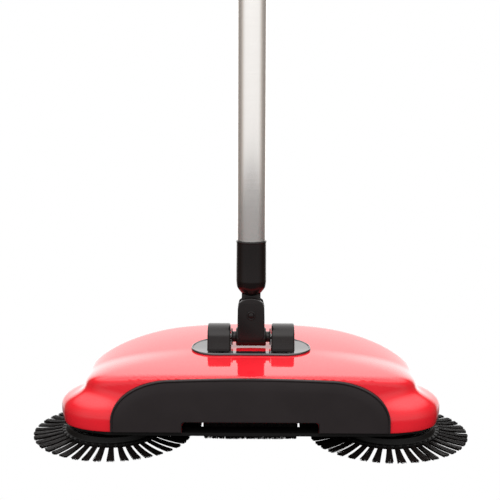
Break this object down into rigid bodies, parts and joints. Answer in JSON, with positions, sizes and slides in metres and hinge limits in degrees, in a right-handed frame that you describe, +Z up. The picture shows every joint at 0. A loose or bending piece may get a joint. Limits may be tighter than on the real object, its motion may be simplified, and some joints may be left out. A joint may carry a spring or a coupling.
{
  "type": "carpet sweeper",
  "caption": "Push carpet sweeper with a glossy red shell, black front cover, roller brush, round side brushes, geared wheels, rear dust drawer and a tube handle on a two-way joint.",
  "frame": {"origin": "on the ground under the middle of the sweeper", "axes": "+X to the right seen from the front, +Y to the rear where the user stands, +Z up along the handle"},
  "size_m": [0.3884, 0.2215, 1.1482],
  "materials": {
    "shell_red": "high gloss moulded",
    "cover_black": "satin moulded",
    "joint_black": "semi-gloss moulded",
    "base_black": "satin moulded",
    "gear_grey": "moulded acetal",
    "bristle_black": "nylon filament",
    "tread_rubber": "matte",
    "pin_steel": "turned",
    "tube_stainless": "polished stainless steel"
  },
  "bodies": {
    "base": {"top_shell": "shell_red", "front_cover": "cover_black", "hinge_plate": "joint_black", "hinge_pin": "pin_steel", "chassis": "base_black", "case_screw_front_left": "pin_steel", "case_screw_front_right": "pin_steel", "case_screw_rear_left": "pin_steel", "case_screw_rear_right": "pin_steel", "wheel_axle_left": "pin_steel", "wheel_axle_right": "pin_steel", "idler_pin_left": "pin_steel", "idler_pin_right": "pin_steel", "tail_pin_left": "pin_steel", "tail_pin_right": "pin_steel"},
    "roller": {"cross_shaft": "pin_steel", "roller_core": "base_black", "roller_bristles": "bristle_black", "pinion_left": "gear_grey", "pinion_right": "gear_grey", "shaft_bevel_left": "gear_grey", "shaft_bevel_right": "gear_grey"},
    "idler_left": {"idler_gear_left": "gear_grey"},
    "wheel_set_left": {"wheel_left": "gear_grey", "tyre_left": "tread_rubber"},
    "tail_left": {"tail_roller_left": "tread_rubber"},
    "side_brush_left": {"brush_hub_left": "base_black", "brush_bristles_left": "bristle_black", "brush_spindle_left": "pin_steel", "brush_screw_left": "pin_steel", "spindle_bevel_left": "gear_grey"},
    "idler_right": {"idler_gear_right": "gear_grey"},
    "wheel_set_right": {"wheel_right": "gear_grey", "tyre_right": "tread_rubber"},
    "tail_right": {"tail_roller_right": "tread_rubber"},
    "side_brush_right": {"brush_hub_right": "base_black", "brush_bristles_right": "bristle_black", "brush_spindle_right": "pin_steel", "brush_screw_right": "pin_steel", "spindle_bevel_right": "gear_grey"},
    "drawer": {"dust_box": "base_black", "dust_box_face": "base_black"},
    "fork": {"swivel_fork": "joint_black"},
    "handle": {"swing_pin": "pin_steel", "handle_socket": "joint_black", "lower_tube": "tube_stainless", "tube_joiner_1": "joint_black", "middle_tube": "tube_stainless", "tube_joiner_2": "joint_black", "upper_tube": "tube_stainless", "handle_grip": "joint_black", "hang_cap": "joint_black"}
  },
  "joints": [
    {"name": "handle_pitch", "type": "hinge", "parent": "base", "child": "fork", "pos_m": [0, -0.0185, 0.0886], "axis": [-1, 0, 0], "range_deg": [-30, 75]},
    {"name": "handle_swing", "type": "hinge", "parent": "fork", "child": "handle", "pos_m": [0, -0.0185, 0.1096], "axis": [0, 1, 0], "range_deg": [-60, 60]},
    {"name": "dust_box_slide", "type": "slide", "parent": "base", "child": "drawer", "axis": [0, 1, 0], "range_m": [0, 0.11]},
    {"name": "roller_spin", "type": "hinge", "parent": "base", "child": "roller", "pos_m": [0, -0.039, 0.025], "axis": [1, 0, 0], "continuous": true},
    {"name": "idler_left_spin", "type": "hinge", "parent": "base", "child": "idler_left", "pos_m": [-0.051, -0.01196, 0.03335], "axis": [1, 0, 0], "continuous": true},
    {"name": "wheel_left_spin", "type": "hinge", "parent": "base", "child": "wheel_set_left", "pos_m": [-0.062, 0.03, 0.028], "axis": [1, 0, 0], "continuous": true},
    {"name": "side_brush_left_spin", "type": "hinge", "parent": "base", "child": "side_brush_left", "pos_m": [-0.123, -0.039, 0.025], "axis": [0, -0.0576, 0.9983], "continuous": true},
    {"name": "tail_left_spin", "type": "hinge", "parent": "base", "child": "tail_left", "pos_m": [-0.061, 0.086, 0.008], "axis": [1, 0, 0], "continuous": true},
    {"name": "idler_right_spin", "type": "hinge", "parent": "base", "child": "idler_right", "pos_m": [0.051, -0.01196, 0.03335], "axis": [1, 0, 0], "continuous": true},
    {"name": "wheel_right_spin", "type": "hinge", "parent": "base", "child": "wheel_set_right", "pos_m": [0.062, 0.03, 0.028], "axis": [1, 0, 0], "continuous": true},
    {"name": "side_brush_right_spin", "type": "hinge", "parent": "base", "child": "side_brush_right", "pos_m": [0.123, -0.039, 0.025], "axis": [0, -0.0576, 0.9983], "continuous": true},
    {"name": "tail_right_spin", "type": "hinge", "parent": "base", "child": "tail_right", "pos_m": [0.061, 0.086, 0.008], "axis": [1, 0, 0], "continuous": true}
  ],
  "couplings": [
    {"joint": "idler_left_spin", "follows": "roller_spin", "ratio": -0.55556},
    {"joint": "wheel_left_spin", "follows": "roller_spin", "ratio": 0.41667},
    {"joint": "side_brush_left_spin", "follows": "roller_spin", "ratio": 0.625},
    {"joint": "idler_right_spin", "follows": "roller_spin", "ratio": -0.55556},
    {"joint": "wheel_right_spin", "follows": "roller_spin", "ratio": 0.41667},
    {"joint": "side_brush_right_spin", "follows": "roller_spin", "ratio": -0.625}
  ]
}
